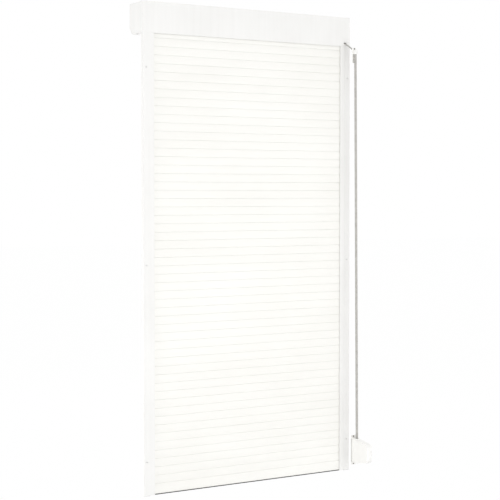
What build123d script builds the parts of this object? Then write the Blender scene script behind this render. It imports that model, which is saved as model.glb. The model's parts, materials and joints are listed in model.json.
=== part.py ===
from build123d import *

import math
import os

# A front-mounted roller shutter with a strap drive, closed, in millimetres
# X runs along the width, +Y points from the room to the street, +Z points up
# Y is zero on the face that lies against the window frame, Z is zero at the middle of the rails

# Overall sizes
shutter_width = 1090
rail_length = 2030
box_size = 137

# Running and seating clearances
play = 0.3
fit_play = 0.1
seat_play = 0.2
overrun = 1

# Guide rails
rail_width = 53
rail_depth = 22
rail_wall = 1.6
channel_depth = 24
leg_setback = 1
seal_rib = 1.2
seal_toe = 1
seal_groove = 6
seal_foot_height = 0.8
seal_lip_width = 3
rail_hole_radius = 2.5
rail_access_radius = 5.5
rail_hole_end_distance = 150
foot_plate = 2
foot_plug_length = 15

# Curtain slats
slat_pitch = 37
slat_thickness = 8
slat_gap = 0.4
slat_edge = 1
slat_room_crown = 2
slat_street_crown = 1.4
slat_wall = 0.9
slat_end_inset = 36.5
slat_group_count = 11
curtain_rise_share = 0.42
hook_neck = 1.6
hook_head = 3.2
hook_neck_height = 2.6
hook_head_height = 1.8

# End slat with its seal and stops
end_slat_height = 45.2
end_slat_crown = 1
end_slat_wall = 1.5
seal_height = 4
seal_slot_neck = 3
seal_slot_head = 5
seal_slot_step = 1.6
stop_radius = 7
stop_length = 10
stop_end_distance = 160
stop_height = 22
stop_screw_radius = 2
stop_screw_head_radius = 3.6
stop_screw_head = 2.4
stop_screw_depth = 5

# Box sheets
sheet = 1.2
cover_slope_depth = 30
cover_slope_height = 25
top_corner_radius = 4
mouth_depth = 22
top_seam_distance = 15
front_seam_height = 60
seam_gap = 0.5
lap = 12
back_flange = 4
back_flange_end_distance = 60

# Box screws
box_screw_radius = 1.6
box_screw_head_radius = 3.4
box_screw_head = 1.6
box_screw_length = 7

# End caps
cap_plate = 3
cap_rim_depth = 9
cap_rim_wall = 5
cap_foot_height = 6
cap_spigot_length = 50
cap_boss_wall = 4

# Inlet funnels
funnel_plug_length = 15
funnel_back_height = 6
funnel_height = 27
funnel_cheek_inset = 38
funnel_back = 6
funnel_flare = 2.4
funnel_wall = 1.6

# Shaft and its ends
shaft_flats = 40
shaft_wall = 0.8
shaft_pin_radius = 6
shaft_pin_inset = 4
shaft_pin_length = 56
capsule_flange_inset = 16
capsule_flange = 3
capsule_flange_radius = 22
plug_length = 60
bearing_outer_radius = 14
bearing_width = 8
bearing_ring_wall = 2.4
bearing_ball_radius = 2
bearing_ball_count = 9

# Strap and the pulley that winds it
strap_width = 14
strap_thickness = 1.2
strap_inset = 28
strap_side_play = 0.7
pulley_core_radius = 28
pulley_coil_radius = 37.5
pulley_flange_radius = 50
pulley_flange = 2

# Hanger springs
hanger_count = 3
hanger_spacing = 330
hanger_width = 20
hanger_thickness = 1
hanger_bend_radius = 22
hanger_reach = 8

# Strap outlet in the wall-side sheet
outlet_height = 14
outlet_bend_radius = 15
outlet_window_width = 16
outlet_window_height = 5.5
outlet_wall = 1
outlet_collar_depth = 6
outlet_bezel = 1
outlet_bezel_border = 3

# The window frame that the strap passes through
frame_gap = 75

# Strap guide on the room side
guide_plate_width = 24
guide_plate_thickness = 3
guide_plate_above = 22
guide_plate_below = 50
guide_hole_radius = 2.1
guide_hole_end_distance = 5
guide_drop = 36
guide_strap_offset = 11
guide_roller_radius = 5
guide_roller_length = 15
guide_pin_radius = 1.5
guide_hood_width = 20
guide_hood_wall = 1.5
guide_hood_depth = 11.5
guide_hood_above = 12
guide_hood_below = 9
guide_hood_corner = 5
guide_window_width = 17
guide_window_above = 12
guide_pad_width = 13
guide_pad_half_height = 11
guide_pad_drop = 27

# Strap winder
winder_height = 113
winder_strap_offset = 31
winder_width = 27
winder_depth = 140
winder_shoulder_offset = 50
winder_front_drop = 11
winder_nose_radius = 36
winder_front_corner = 11
winder_rear_corner = 6
winder_swing_room = 1.6
winder_wall = 2
winder_seam = 0.2
bracket_plate = 3
bracket_reach = 16
bracket_hole_reach = 10.5
bracket_hole_radius = 2.2
bracket_arm = 4
arm_play = 0.4
upper_pivot_radius = 11
upper_pivot_bore = 8.5
lower_pivot_radius = 5
spool_front_room = 17
spool_case_room = 6
spool_rim = 4.8
spool_winding = 5.2
spool_flange = 1.5
spool_wall = 2
spool_hub_radius = 8
spool_half_width = 7.6
axle_radius = 4
axle_boss_radius = 7
spring_inner_radius = 9.2
spring_outer_room = 2.8
spring_turns = 8
spring_thickness = 0.8
spring_width = 11
case_screw_radius = 1.4
case_screw_head_radius = 2.8
case_screw_head = 1.4
case_boss_radius = 4
front_boss_inset = 14
front_boss_drop = 17
rear_boss_offset = 35
rear_boss_drop = 10
brake_offset = 43
brake_drop = 8
brake_hub_radius = 4
brake_pin_radius = 1.5
brake_nose_radius = 2.5
brake_nose_reach = 8.3
brake_nose_rise = 1.5
brake_width = 12

# Places that follow from these sizes
half_width = shutter_width / 2
box_bottom = rail_length / 2
box_top = box_bottom + box_size
sill = -rail_length / 2
shaft_y = box_size / 2
shaft_z = box_bottom + box_size / 2
curtain_y = rail_depth / 2
curtain_length = shutter_width - 2 * slat_end_inset
end_slat_bottom = sill + seal_height
first_slat_z = end_slat_bottom + end_slat_height + slat_gap
slat_count = math.floor((box_bottom + curtain_rise_share * box_size - first_slat_z) / slat_pitch)
chamber_width = rail_width - channel_depth
strap_x = half_width - strap_inset
pulley_half_channel = strap_width / 2 + strap_side_play
strap_stand_off = strap_thickness / 2 + seat_play
spool_room = winder_depth - spool_front_room - winder_strap_offset - strap_stand_off
spool_flange_radius = (spool_room + spool_rim) / 2
winder_coil_radius = spool_flange_radius - spool_rim
spool_core_radius = winder_coil_radius - spool_winding
spool_y = -frame_gap - winder_strap_offset - strap_stand_off - winder_coil_radius
spring_pitch = (spool_core_radius - spool_wall - spring_outer_room - spring_inner_radius) / spring_turns
winder_half_height = spool_flange_radius + spool_case_room
winder_front_half_height = winder_half_height - winder_front_drop
bracket_half_height = winder_half_height + bracket_reach
winder_z = sill + winder_height
winder_pivot_y = -frame_gap - winder_strap_offset
winder_top_z = winder_z + winder_half_height
winder_swing = winder_strap_offset - bracket_plate - winder_swing_room - winder_rear_corner
winder_rear_reach = math.sqrt(winder_swing**2 - (winder_width / 2 - winder_rear_corner) ** 2)
winder_rear = winder_strap_offset - winder_rear_corner - winder_rear_reach

nodes = {}


def block(x_low, x_high, y_low, y_high, z_low, z_high):
    """A box between two corners."""
    centre = ((x_low + x_high) / 2, (y_low + y_high) / 2, (z_low + z_high) / 2)
    return Pos(*centre) * Box(x_high - x_low, y_high - y_low, z_high - z_low)


def along_x(face, x_low, x_high):
    """A face drawn in Y and Z, run from x_low to x_high."""
    return extrude(Plane.YZ.offset(x_low) * face, amount=x_high - x_low)


def along_z(face, z_low, z_high):
    """A face drawn in X and Y, run from z_low to z_high."""
    return extrude(Plane.XY.offset(z_low) * face, amount=z_high - z_low)


def rod_x(radius, x_low, x_high, y, z):
    return along_x(Pos(y, z) * Circle(radius), x_low, x_high)


def ring_x(outer, inner, x_low, x_high, y, z):
    return rod_x(outer, x_low, x_high, y, z) - rod_x(inner, x_low - overrun, x_high + overrun, y, z)


def rod_y(radius, y_low, y_high, x, z):
    middle = (x, (y_low + y_high) / 2, z)
    return Pos(*middle) * Rot(90, 0, 0) * Cylinder(radius, y_high - y_low)


def rod_z(radius, z_low, z_high, x, y):
    return along_z(Pos(x, y) * Circle(radius), z_low, z_high)


def polygon(*points):
    return make_face(Polyline(*points, close=True))


def add_node(name, *pieces):
    """Keeps the solids of one sub-part under its name."""
    solids = [solid for piece in pieces for solid in piece.solids()]
    nodes[name] = Compound(label=name, children=solids)


def sides():
    """The left end and the right end, as a name and the sign of X."""
    return (("left", -1), ("right", 1))


def from_end(side, near, far):
    """The X range between two distances from the left or the right end of the shutter."""
    ends = sorted((side * (half_width - near), side * (half_width - far)))
    return ends[0], ends[1]


def heading(point, centre, radius, side):
    """The angle of the line from a point that touches a circle; side is 1 where the centre is on its left."""
    away = (centre[0] - point[0], centre[1] - point[1])
    return math.atan2(away[1], away[0]) - side * math.asin(radius / math.hypot(*away))


def crossing(point_a, angle_a, point_b, angle_b):
    """Where two lines meet, each given by a point and an angle."""
    gap = (point_b[0] - point_a[0], point_b[1] - point_a[1])
    share = gap[0] * math.sin(angle_b) - gap[1] * math.cos(angle_b)
    run = share / math.sin(angle_b - angle_a)
    return (point_a[0] + run * math.cos(angle_a), point_a[1] + run * math.sin(angle_a))


# Guide rails


def seal_holder(inner_face, direction, height):
    """Two ribs with toes at the mouth of a rail leg, drawn from the outer end of the rail."""
    face_y = sorted((inner_face, inner_face + direction * height))
    toe_y = sorted((inner_face + direction * (height - seal_rib), inner_face + direction * height))
    mouth = rail_width
    inner = mouth - 2 * seal_rib - seal_groove
    ribs = [
        (mouth - seal_rib, mouth, face_y),
        (inner, inner + seal_rib, face_y),
        (mouth - seal_rib - seal_toe, mouth, toe_y),
        (inner, inner + seal_rib + seal_toe, toe_y),
    ]
    return [
        polygon((low, y[0]), (high, y[0]), (high, y[1]), (low, y[1])) for low, high, y in ribs
    ]


def leg_faces():
    """The inner faces of the two rail legs and the room there is between each and the slats."""
    room_face = leg_setback + rail_wall
    street_face = rail_depth - rail_wall
    room_space = curtain_y - slat_thickness / 2 - room_face
    street_space = street_face - curtain_y - slat_thickness / 2
    return ((room_face, 1, room_space), (street_face, -1, street_space))


def rail_profile():
    """The extrusion's section: a closed chamber on the outside and a channel on the inside."""
    wall = rail_wall
    outer = polygon((0, 0), (chamber_width, 0), (chamber_width, rail_depth), (0, rail_depth))
    hollow = polygon(
        (wall, wall),
        (chamber_width - wall, wall),
        (chamber_width - wall, rail_depth - wall),
        (wall, rail_depth - wall),
    )
    profile = outer - hollow
    for inner_face, direction, space in leg_faces():
        leg_y = (inner_face - direction * wall, inner_face)
        leg = polygon(
            (chamber_width - wall, leg_y[0]),
            (rail_width, leg_y[0]),
            (rail_width, leg_y[1]),
            (chamber_width - wall, leg_y[1]),
        )
        profile = profile + leg
        for rib in seal_holder(inner_face, direction, space - 2 * seal_rib + play):
            profile = profile + rib
    return profile


def place_from_end(side, face):
    """Turns a section drawn from the rail's outer end into the row's X."""
    return Pos(side * half_width, 0) * (mirror(face, about=Plane.YZ) if side > 0 else face)


def rail(side):
    body = along_z(place_from_end(side, rail_profile()), sill + foot_plate, box_bottom)
    hole_x = side * (half_width - chamber_width / 2)
    for z in (-1, 0, 1):
        hole_z = z * (rail_length / 2 - rail_hole_end_distance)
        body = body - rod_y(rail_hole_radius, -overrun, rail_wall + overrun, hole_x, hole_z)
        street = rail_depth - rail_wall - overrun
        body = body - rod_y(rail_access_radius, street, rail_depth + overrun, hole_x, hole_z)
    return body


def rail_seals(side):
    """A foot in the holder's groove and a lip that reaches to the slats."""
    seals = []
    middle = rail_width - seal_rib - seal_groove / 2
    for inner_face, direction, space in leg_faces():
        foot = inner_face + direction * seat_play
        foot_top = foot + direction * seal_foot_height
        lip = inner_face + direction * (space - play)
        half_foot = seal_groove / 2 - seat_play
        half_lip = seal_lip_width / 2
        section = polygon(
            (middle - half_foot, foot),
            (middle + half_foot, foot),
            (middle + half_foot, foot_top),
            (middle + half_lip, foot_top),
            (middle + half_lip / 2, lip),
            (middle - half_lip / 2, lip),
            (middle - half_lip, foot_top),
            (middle - half_foot, foot_top),
        )
        seals.append(along_z(place_from_end(side, section), sill + foot_plate, box_bottom))
    return seals


def foot_plug(side):
    x_low, x_high = from_end(side, 0, chamber_width)
    plate = block(x_low, x_high, 0, rail_depth, sill, sill + foot_plate)
    inset = rail_wall + seat_play
    plug = block(
        x_low + inset, x_high - inset, inset, rail_depth - inset, sill, sill + foot_plug_length
    )
    return plate + plug


# Curtain


def hook(top, hook_y):
    """The tongue on a slat's upper edge, with a wider head."""
    neck_top = top + hook_neck_height
    head_top = neck_top + hook_head_height
    neck = hook_neck / 2
    head = hook_head / 2
    return polygon(
        (hook_y - neck, top - slat_edge),
        (hook_y + neck, top - slat_edge),
        (hook_y + neck, neck_top),
        (hook_y + head, neck_top),
        (hook_y + head, head_top),
        (hook_y - head, head_top),
        (hook_y - head, neck_top),
        (hook_y - neck, neck_top),
    )


def pocket(hook_y):
    """The groove in a slat's lower edge that takes the tongue of the slat below."""
    head_low = hook_neck_height - slat_gap - play
    head_high = hook_neck_height + hook_head_height - slat_gap + play
    neck = hook_neck / 2 + play
    head = hook_head / 2 + play
    return polygon(
        (hook_y - neck, -overrun),
        (hook_y + neck, -overrun),
        (hook_y + neck, head_low),
        (hook_y + head, head_low),
        (hook_y + head, head_high),
        (hook_y - head, head_high),
        (hook_y - head, head_low),
        (hook_y - neck, head_low),
    )


def side_curve(start, middle, end):
    """An arc through three points, or a line where they share one Y."""
    return Line(start, end) if start[0] == middle[0] else ThreePointArc(start, middle, end)


def bar_outline(top, room_crown, street_crown):
    """A slat's section: crowned towards the room, hollowed towards the street, edges bevelled."""
    half = slat_thickness / 2
    edge = slat_edge
    room = room_crown - half
    middle = top / 2
    return make_face(
        [
            side_curve((room, edge), (-half, middle), (room, top - edge)),
            Polyline((room, top - edge), (room + edge, top), (half - edge, top), (half, top - edge)),
            side_curve((half, top - edge), (half - street_crown, middle), (half, edge)),
            Polyline((half, edge), (half - edge, 0), (room + edge, 0), (room, edge)),
        ]
    )


def chamber(top, low, high, crowns, wall):
    """A hollow in a slat between two heights, one wall inside both curved sides."""
    half = slat_thickness / 2
    room_crown, street_crown = crowns

    def inner(height):
        share = (height - top / 2) / (top / 2)
        room = room_crown * share**2 - half + wall
        street = half - street_crown * (1 - share**2) - wall
        return room, street

    middle = (low + high) / 2
    room_low, street_low = inner(low)
    room_mid, street_mid = inner(middle)
    room_high, street_high = inner(high)
    return make_face(
        [
            side_curve((room_low, low), (room_mid, middle), (room_high, high)),
            Line((room_high, high), (street_high, high)),
            side_curve((street_high, high), (street_mid, middle), (street_low, low)),
            Line((street_low, low), (room_low, low)),
        ]
    )


hook_place = slat_room_crown / 2


def slat_section():
    """A hollow slat with one web, a tongue on top and a pocket underneath."""
    top = slat_pitch - slat_gap
    wall = slat_wall
    crowns = (slat_room_crown, slat_street_crown)
    pocket_top = hook_neck_height + hook_head_height - slat_gap + play
    low = pocket_top + wall
    high = top - slat_edge - wall
    web = (low + high) / 2
    section = bar_outline(top, *crowns) + hook(top, hook_place) - pocket(hook_place)
    for span in ((low, web - wall / 2), (web + wall / 2, high)):
        section = section - chamber(top, *span, crowns, wall)
    return section


def slat_group(group, section):
    """One of the groups that share the curtain's slats evenly, counted from the bottom."""
    first = group * slat_count // slat_group_count
    beyond = (group + 1) * slat_count // slat_group_count
    slats = []
    for number in range(first, beyond):
        placed = Pos(curtain_y, first_slat_z + number * slat_pitch) * section
        slats.append(along_x(placed, -curtain_length / 2, curtain_length / 2))
    return slats


def seal_slot(grow):
    """The undercut groove under the end slat, or the seal's foot where grow is negative."""
    neck = seal_slot_neck / 2 + grow
    head = seal_slot_head / 2 + grow
    step = seal_slot_step - grow
    top = 2 * seal_slot_step + grow
    low = min(-grow, 0) - overrun
    return polygon(
        (-neck, low),
        (neck, low),
        (neck, step),
        (head, step),
        (head, top),
        (-head, top),
        (-head, step),
        (-neck, step),
    )


def end_slat():
    bar = bar_outline(end_slat_height, end_slat_crown, 0) + hook(end_slat_height, hook_place)
    low = 2 * seal_slot_step + end_slat_wall
    high = end_slat_height - slat_edge - end_slat_wall
    hollow = chamber(end_slat_height, low, high, (end_slat_crown, 0), end_slat_wall)
    section = bar - seal_slot(0) - hollow
    body = along_x(
        Pos(curtain_y, end_slat_bottom) * section, -curtain_length / 2, curtain_length / 2
    )
    for x, z in stop_places():
        face_y = curtain_y + slat_thickness / 2
        body = body - rod_y(stop_screw_radius + fit_play, face_y - stop_screw_depth, face_y + overrun, x, z)
    return body


def end_slat_seal():
    """A rubber lip with a flat foot that closes on the sill."""
    half = slat_thickness / 2
    lip = make_face(
        [
            Polyline((-half, -seal_height / 2), (-half, 0), (half, 0), (half, -seal_height / 2)),
            ThreePointArc((half, -seal_height / 2), (0, -seal_height), (-half, -seal_height / 2)),
        ]
    )
    section = Pos(curtain_y, end_slat_bottom) * (lip + seal_slot(-fit_play))
    return along_x(section, -curtain_length / 2, curtain_length / 2)


def stop_places():
    reach = curtain_length / 2 - stop_end_distance
    return ((-reach, end_slat_bottom + stop_height), (reach, end_slat_bottom + stop_height))


def end_slat_stops():
    """Rubber stops on the street side, which meet the underside of the box at full lift."""
    face_y = curtain_y + slat_thickness / 2
    stops = []
    for x, z in stop_places():
        stop = rod_y(stop_radius, face_y, face_y + stop_length, x, z)
        stop = stop - rod_y(stop_screw_radius + fit_play, face_y - overrun, face_y + stop_length, x, z)
        head_low = face_y + stop_length - stop_screw_head - fit_play
        stop = stop - rod_y(stop_screw_head_radius + fit_play, head_low, face_y + stop_length + overrun, x, z)
        stops.append(stop)
    return stops


def stop_screws():
    face_y = curtain_y + slat_thickness / 2
    screws = []
    for x, z in stop_places():
        head_low = face_y + stop_length - stop_screw_head
        shank = rod_y(stop_screw_radius, face_y - stop_screw_depth + seat_play, head_low, x, z)
        screws.append(shank + rod_y(stop_screw_head_radius, head_low, face_y + stop_length, x, z))
    return screws


def hanger_springs():
    """Spring strips from the top slat, up and over the shaft."""
    top_slat = first_slat_z + slat_count * slat_pitch - slat_gap
    start = top_slat + hook_neck_height + hook_head_height + seat_play
    over = shaft_z + shaft_flats / 2 + seat_play + hanger_thickness / 2
    hook_line = curtain_y + hook_place
    path = FilletPolyline(
        (hook_line, start), (hook_line, over), (shaft_y + hanger_reach, over), radius=hanger_bend_radius
    )
    strip = trace(path, line_width=hanger_thickness)
    hangers = []
    for number in range(hanger_count):
        x = (number - (hanger_count - 1) / 2) * hanger_spacing
        hangers.append(along_x(strip, x - hanger_width / 2, x + hanger_width / 2))
    return hangers


# Box


def box_outline(inset):
    """The box's section, or the same section set in by a distance all round."""
    slope_y = box_size - cover_slope_depth
    slope_z = box_bottom + cover_slope_height
    outline = polygon(
        (0, box_bottom), (slope_y, box_bottom), (box_size, slope_z), (box_size, box_top), (0, box_top)
    )
    corner = outline.vertices().sort_by(lambda vertex: vertex.X + vertex.Y)[-1]
    outline = fillet(corner, top_corner_radius)
    return offset(outline, -inset, kind=Kind.INTERSECTION) if inset else outline


def box_shell():
    return along_x(box_outline(0) - box_outline(sheet), -half_width, half_width)


def cap_screw_places():
    """Each screw's kind, and a plane under its head that faces the way the head points."""
    places = []
    inset = cap_rim_depth / 2
    for _, side in sides():
        x = side * (half_width - inset)
        for y in (box_size / 4, box_size * 3 / 4):
            places.append(("panel", Plane((x, y, box_top), z_dir=(0, 0, 1))))
        places.append(("panel", Plane((x, box_size, box_bottom + box_size * 2 / 3), z_dir=(0, 1, 0))))
        places.append(("cover", Plane((x, box_size / 2, box_bottom), z_dir=(0, 0, -1))))
    return places


def screw_bores(radius, depth):
    bores = []
    for _, plane in cap_screw_places():
        bores.append(extrude(plane.offset(-depth) * Circle(radius), amount=depth + overrun))
    return bores


def box_screws(kind):
    screws = []
    for place_kind, plane in cap_screw_places():
        if place_kind == kind:
            tip = plane.offset(-box_screw_length)
            shank = extrude(tip * Circle(box_screw_radius), amount=box_screw_length)
            head = extrude(plane * Circle(box_screw_head_radius), amount=box_screw_head)
            rim = head.edges().group_by(Axis(plane.origin, plane.z_dir))[-1]
            screws.append(shank + chamfer(rim, box_screw_head / 2))
    return screws


def box_panels():
    """The wall-side sheet with the top, the street-side sheet, and the cover that closes the bottom."""
    shell = box_shell()
    for bore in screw_bores(box_screw_radius + fit_play, box_screw_length):
        shell = shell - bore
    far = box_size + overrun
    low = box_bottom - overrun
    high = box_top + overrun
    ends = (-half_width - overrun, half_width + overrun)
    seam_y = box_size - top_seam_distance
    seam_z = box_bottom + front_seam_height

    back = shell & block(*ends, -overrun, seam_y - seam_gap, low, high)
    back = back - block(*ends, sheet, far, low, box_bottom + sheet + cover_slope_height)
    flange_reach = half_width - back_flange_end_distance
    back = back + block(-flange_reach, flange_reach, 0, back_flange, box_bottom, box_bottom + sheet)
    window = outlet_hole(outlet_window_width + 2 * (outlet_wall + fit_play), outlet_wall + fit_play)
    back = back - window

    front = shell & block(*ends, seam_y, far, seam_z, high)
    lap_ends = (-half_width + cap_rim_depth + play, half_width - cap_rim_depth - play)
    under = box_top - sheet - fit_play
    front = front + block(*lap_ends, seam_y - lap, seam_y + sheet, under - sheet, under)
    front = front + block(*lap_ends, seam_y, seam_y + sheet, under - sheet, box_top - sheet)

    cover = shell & block(*ends, mouth_depth, far, low, seam_z - seam_gap)
    behind = box_size - sheet - fit_play
    edge = seam_z - seam_gap
    cover = cover + block(*lap_ends, behind - sheet, behind, edge - sheet, edge + lap)
    cover = cover + block(*lap_ends, behind - sheet, box_size - sheet, edge - sheet, edge)
    flange_end = half_width - rail_width
    flange_top = box_bottom + back_flange
    cover = cover + block(-flange_end, flange_end, mouth_depth, mouth_depth + sheet, box_bottom, flange_top)
    return back, front, cover


def end_cap(side):
    """A plate with a rim for the screws, a bearing seat, and a spigot that stands in the rail."""
    x_low, x_high = from_end(side, 0, cap_plate)
    rim_low, rim_high = from_end(side, 0, cap_rim_depth)
    outline = box_outline(sheet + seat_play)
    cap = along_x(outline, x_low, x_high)
    cap = cap + along_x(outline - box_outline(sheet + seat_play + cap_rim_wall), rim_low, rim_high)
    boss_low, boss_high = from_end(side, 0, cap_plate + bearing_width + seat_play)
    cap = cap + rod_x(bearing_outer_radius + cap_boss_wall, boss_low, boss_high, shaft_y, shaft_z)
    seat_low, seat_high = from_end(side, cap_plate, cap_plate + cap_rim_depth + bearing_width)
    cap = cap - rod_x(bearing_outer_radius + fit_play, seat_low, seat_high, shaft_y, shaft_z)
    inset = rail_wall + seat_play
    foot_low, foot_high = from_end(side, 0, chamber_width - inset)
    foot_top = box_bottom + cap_foot_height
    cap = cap + block(foot_low, foot_high, sheet + seat_play, rail_depth - inset, box_bottom, foot_top)
    spigot_low, spigot_high = from_end(side, inset, chamber_width - inset)
    spigot_bottom = box_bottom - cap_spigot_length
    cap = cap + block(spigot_low, spigot_high, inset, rail_depth - inset, spigot_bottom, box_bottom)
    for bore in screw_bores(box_screw_radius + fit_play, box_screw_length + overrun):
        cap = cap - bore
    return cap


def inlet_funnel(side):
    """Two flared cheeks over the rail's channel, with a back that plugs into the channel."""
    inner = chamber_width + seat_play
    back_low, back_high = from_end(side, inner, inner + funnel_back)
    room_low = leg_setback + rail_wall + seat_play
    street_high = rail_depth - rail_wall - seat_play
    plug_low = box_bottom - funnel_plug_length
    plug_high = box_bottom + funnel_back_height
    plug = block(back_low, back_high, room_low, street_high, plug_low, plug_high)
    slat_room = curtain_y - slat_thickness / 2 - play
    slat_street = curtain_y + slat_thickness / 2 + play
    top = box_bottom + funnel_height
    base_low, base_high = from_end(side, inner, rail_width)
    cheek_low, cheek_high = from_end(side, funnel_cheek_inset, rail_width)
    room_cheek = polygon(
        (room_low, box_bottom), (slat_room, box_bottom), (slat_room - funnel_flare, top), (room_low, top)
    )
    street_cheek = polygon(
        (slat_street, box_bottom),
        (street_high, box_bottom),
        (street_high, top),
        (street_high - funnel_wall, top),
    )
    funnel = plug
    for cheek in (room_cheek, street_cheek):
        tall = along_x(cheek, cheek_low, cheek_high)
        above = block(base_low - overrun, base_high + overrun, 0, rail_depth, plug_high, top + overrun)
        low = along_x(cheek, base_low, base_high) - above
        funnel = funnel + tall + low
    return funnel


# Shaft


def octagon(flats):
    return Pos(shaft_y, shaft_z) * RegularPolygon(flats / 2, 8, major_radius=False, rotation=180 / 8)


def plug_flats():
    return shaft_flats - 2 * shaft_wall - 2 * fit_play


def pulley_faces():
    """X of the strap channel's left and right face in the pulley."""
    return strap_x - pulley_half_channel, strap_x + pulley_half_channel


def shaft_tube():
    low = -half_width + capsule_flange_inset + capsule_flange + seat_play
    high = pulley_faces()[0] - pulley_flange - seat_play
    return along_x(octagon(shaft_flats), low, high) - along_x(
        octagon(shaft_flats - 2 * shaft_wall), low - overrun, high + overrun
    )


def idler_capsule():
    low = -half_width + capsule_flange_inset
    flange_high = low + capsule_flange
    capsule = rod_x(capsule_flange_radius, low, flange_high, shaft_y, shaft_z)
    capsule = capsule + along_x(octagon(plug_flats()), flange_high, flange_high + plug_length)
    pin_end = -half_width + shaft_pin_inset + shaft_pin_length + seat_play
    return capsule - rod_x(shaft_pin_radius + fit_play, low - overrun, pin_end, shaft_y, shaft_z)


def shaft_pin(side):
    low, high = from_end(side, shaft_pin_inset, shaft_pin_inset + shaft_pin_length)
    pin = rod_x(shaft_pin_radius, low, high, shaft_y, shaft_z)
    return chamfer(pin.edges().filter_by(GeomType.CIRCLE), shaft_pin_radius / 8)


def strap_pulley():
    left, right = pulley_faces()
    pulley = rod_x(pulley_core_radius, left, right, shaft_y, shaft_z)
    for low, high in ((left - pulley_flange, left), (right, right + pulley_flange)):
        pulley = pulley + rod_x(pulley_flange_radius, low, high, shaft_y, shaft_z)
    plug_high = left - pulley_flange
    pulley = pulley + along_x(octagon(plug_flats()), plug_high - plug_length, plug_high)
    pin_low = half_width - shaft_pin_inset - shaft_pin_length - seat_play
    bore = rod_x(shaft_pin_radius + fit_play, pin_low, right + pulley_flange + overrun, shaft_y, shaft_z)
    return pulley - bore


def bearing_span(side):
    return from_end(side, cap_plate + seat_play, cap_plate + seat_play + bearing_width)


def bearing_race(side):
    """The groove that the balls run in, as a ring to cut from both bearing rings."""
    low, high = bearing_span(side)
    outer_wall = bearing_outer_radius - bearing_ring_wall
    inner_wall = shaft_pin_radius + fit_play + bearing_ring_wall
    track = (outer_wall + inner_wall) / 2
    torus = Rot(0, 90, 0) * Torus(track, bearing_ball_radius + fit_play)
    return Pos((low + high) / 2, shaft_y, shaft_z) * torus, track


def bearing_outer_ring(side):
    low, high = bearing_span(side)
    ring = ring_x(bearing_outer_radius, bearing_outer_radius - bearing_ring_wall, low, high, shaft_y, shaft_z)
    return ring - bearing_race(side)[0]


def bearing_inner_ring(side):
    low, high = bearing_span(side)
    bore = shaft_pin_radius + fit_play
    return ring_x(bore + bearing_ring_wall, bore, low, high, shaft_y, shaft_z) - bearing_race(side)[0]


def bearing_balls(side):
    low, high = bearing_span(side)
    track = bearing_race(side)[1]
    balls = []
    for number in range(bearing_ball_count):
        angle = 2 * math.pi * number / bearing_ball_count
        place = ((low + high) / 2, shaft_y + track * math.cos(angle), shaft_z + track * math.sin(angle))
        balls.append(Pos(*place) * Sphere(bearing_ball_radius))
    return balls


def pulley_strap_coil():
    low = strap_x - strap_width / 2
    return ring_x(pulley_coil_radius, pulley_core_radius + fit_play, low, low + strap_width, shaft_y, shaft_z)


# Strap, from the pulley through the outlet and over the guide to the winder

outlet_point = (0, box_bottom + outlet_height)
guide_wrap_radius = guide_roller_radius + strap_stand_off
guide_roller_y = -frame_gap - guide_strap_offset + guide_wrap_radius
guide_roller_z = box_bottom - guide_drop
strap_end_z = winder_top_z + arm_play + bracket_arm


def strap_path():
    """The strap's middle line in Y and Z, with a radius for each of its two corners."""
    coil_radius = pulley_coil_radius + strap_stand_off
    inward = heading(outlet_point, (shaft_y, shaft_z), coil_radius, 1)
    reach = math.sqrt(math.dist(outlet_point, (shaft_y, shaft_z)) ** 2 - coil_radius**2)
    start = (
        outlet_point[0] + reach * math.cos(inward),
        outlet_point[1] + reach * math.sin(inward),
    )
    roller = (guide_roller_y, guide_roller_z)
    end = (winder_pivot_y, strap_end_z)
    outward = heading(outlet_point, roller, guide_wrap_radius, 1)
    upward = heading(end, roller, guide_wrap_radius, -1)
    turn = crossing(outlet_point, outward, end, upward)
    return FilletPolyline(start, outlet_point, turn, end, radius=[outlet_bend_radius, guide_wrap_radius])


def strap():
    band = trace(strap_path(), line_width=strap_thickness)
    return along_x(band, strap_x - strap_width / 2, strap_x + strap_width / 2)


def outlet_window_z():
    """The lowest and highest point of the strap's window, with the strap on its lower lip."""
    low = outlet_point[1] - strap_thickness - seat_play
    return low, low + outlet_window_height


def outlet_hole(width, grow):
    low, high = outlet_window_z()
    return block(strap_x - width / 2, strap_x + width / 2, -overrun, sheet + overrun, low - grow, high + grow)


def outlet_nozzle():
    """A bezel on the wall-side sheet and a collar through it."""
    low, high = outlet_window_z()
    half = outlet_window_width / 2
    border = outlet_bezel_border
    bezel = block(
        strap_x - half - border, strap_x + half + border, -outlet_bezel, 0, low - border, high + border
    )
    bezel = fillet(bezel.edges().filter_by(Axis.Y), border / 2)
    wall = outlet_wall
    collar = block(
        strap_x - half - wall,
        strap_x + half + wall,
        -outlet_bezel,
        outlet_collar_depth,
        low - wall,
        high + wall,
    )
    window = block(
        strap_x - half, strap_x + half, -outlet_bezel - overrun, outlet_collar_depth + overrun, low, high
    )
    return bezel + collar - window


# Strap guide

guide_face_y = -frame_gap - guide_plate_thickness


def guide_plate():
    """A long plate with rounded ends, a window for the strap and roller, and two screw holes."""
    low = guide_roller_z - guide_plate_below
    high = guide_roller_z + guide_plate_above
    half = guide_plate_width / 2
    plate = block(strap_x - half, strap_x + half, guide_face_y, -frame_gap, low, high)
    plate = fillet(plate.edges().filter_by(Axis.Y), half / 2)
    window_half = guide_window_width / 2
    window = block(
        strap_x - window_half,
        strap_x + window_half,
        guide_face_y - overrun,
        -frame_gap + overrun,
        guide_roller_z - guide_roller_radius - play,
        guide_roller_z + guide_window_above,
    )
    plate = plate - window
    for z in (low + guide_hole_end_distance, high - guide_hole_end_distance):
        plate = plate - rod_y(guide_hole_radius, guide_face_y - overrun, -frame_gap + overrun, strap_x, z)
    return plate


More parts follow.
